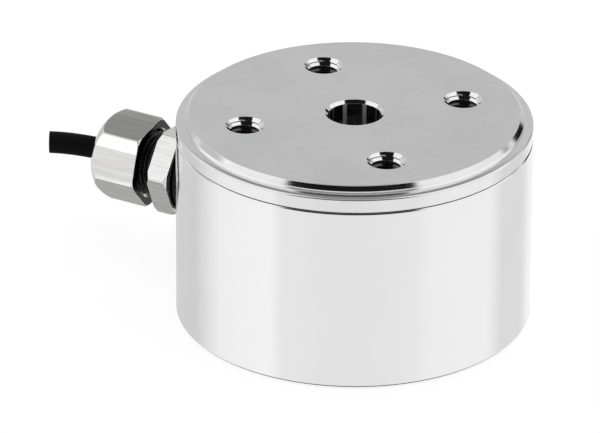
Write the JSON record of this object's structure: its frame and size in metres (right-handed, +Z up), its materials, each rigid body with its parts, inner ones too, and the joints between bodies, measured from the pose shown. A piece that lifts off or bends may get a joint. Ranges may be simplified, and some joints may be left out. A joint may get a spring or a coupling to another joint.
{
  "type": "force torque sensor",
  "caption": "Round metal force and torque sensor with a centre bore, tapped holes in both faces, a load flange over a thin gap and a side gland with a short cable.",
  "frame": {"origin": "centre of the bottom mounting face, on the axis of the centre bore", "axes": "+Z up along the centre bore, out of the tool face; the cable gland points along -X"},
  "size_m": [0.0911, 0.06, 0.0363],
  "materials": {
    "flange_aluminium": "fine satin face, polished rim",
    "housing_aluminium": "smooth turned",
    "base_aluminium": "fine satin",
    "spring_alloy": "milled",
    "sleeve_steel": "turned",
    "screw_steel": "plated",
    "pin_steel": "ground",
    "seal_rubber": "matt",
    "gauge_film": "polyimide film",
    "lead_insulation": "enamelled",
    "board_laminate": "solder mask",
    "standoff_brass": "turned",
    "chip_plastic": "moulded",
    "tin_plate": "tinned",
    "connector_plastic": "moulded",
    "cable_black": "matt",
    "braid_copper": "tinned copper braid",
    "core_insulation": "extruded",
    "copper": "bright copper",
    "nickel_plate": "nickel plated",
    "claw_plastic": "polyamide"
  },
  "bodies": {
    "root": {"load_flange": "flange_aluminium", "housing": "housing_aluminium", "base_plate": "base_aluminium", "spring_element": "spring_alloy", "bore_sleeve": "sleeve_steel", "hub_screws": "screw_steel", "base_screws": "screw_steel", "hub_dowels": "pin_steel", "ring_dowels": "pin_steel", "seal_ring": "seal_rubber", "base_o_ring": "seal_rubber", "gauges_top": "gauge_film", "gauges_bottom": "gauge_film", "gauges_side": "gauge_film", "gauge_leads": "lead_insulation", "terminal_board": "board_laminate", "board_standoffs": "standoff_brass", "board_screws": "screw_steel", "amplifier_chips": "chip_plastic", "chip_leads": "tin_plate", "board_connector": "connector_plastic", "cable_jacket": "cable_black", "cable_shield": "braid_copper", "cable_cores": "core_insulation", "core_strands": "copper", "gland_body": "nickel_plate", "gland_nut": "nickel_plate", "gland_seal": "seal_rubber", "gland_claw": "claw_plastic", "gland_gasket": "seal_rubber"}
  },
  "joints": []
}
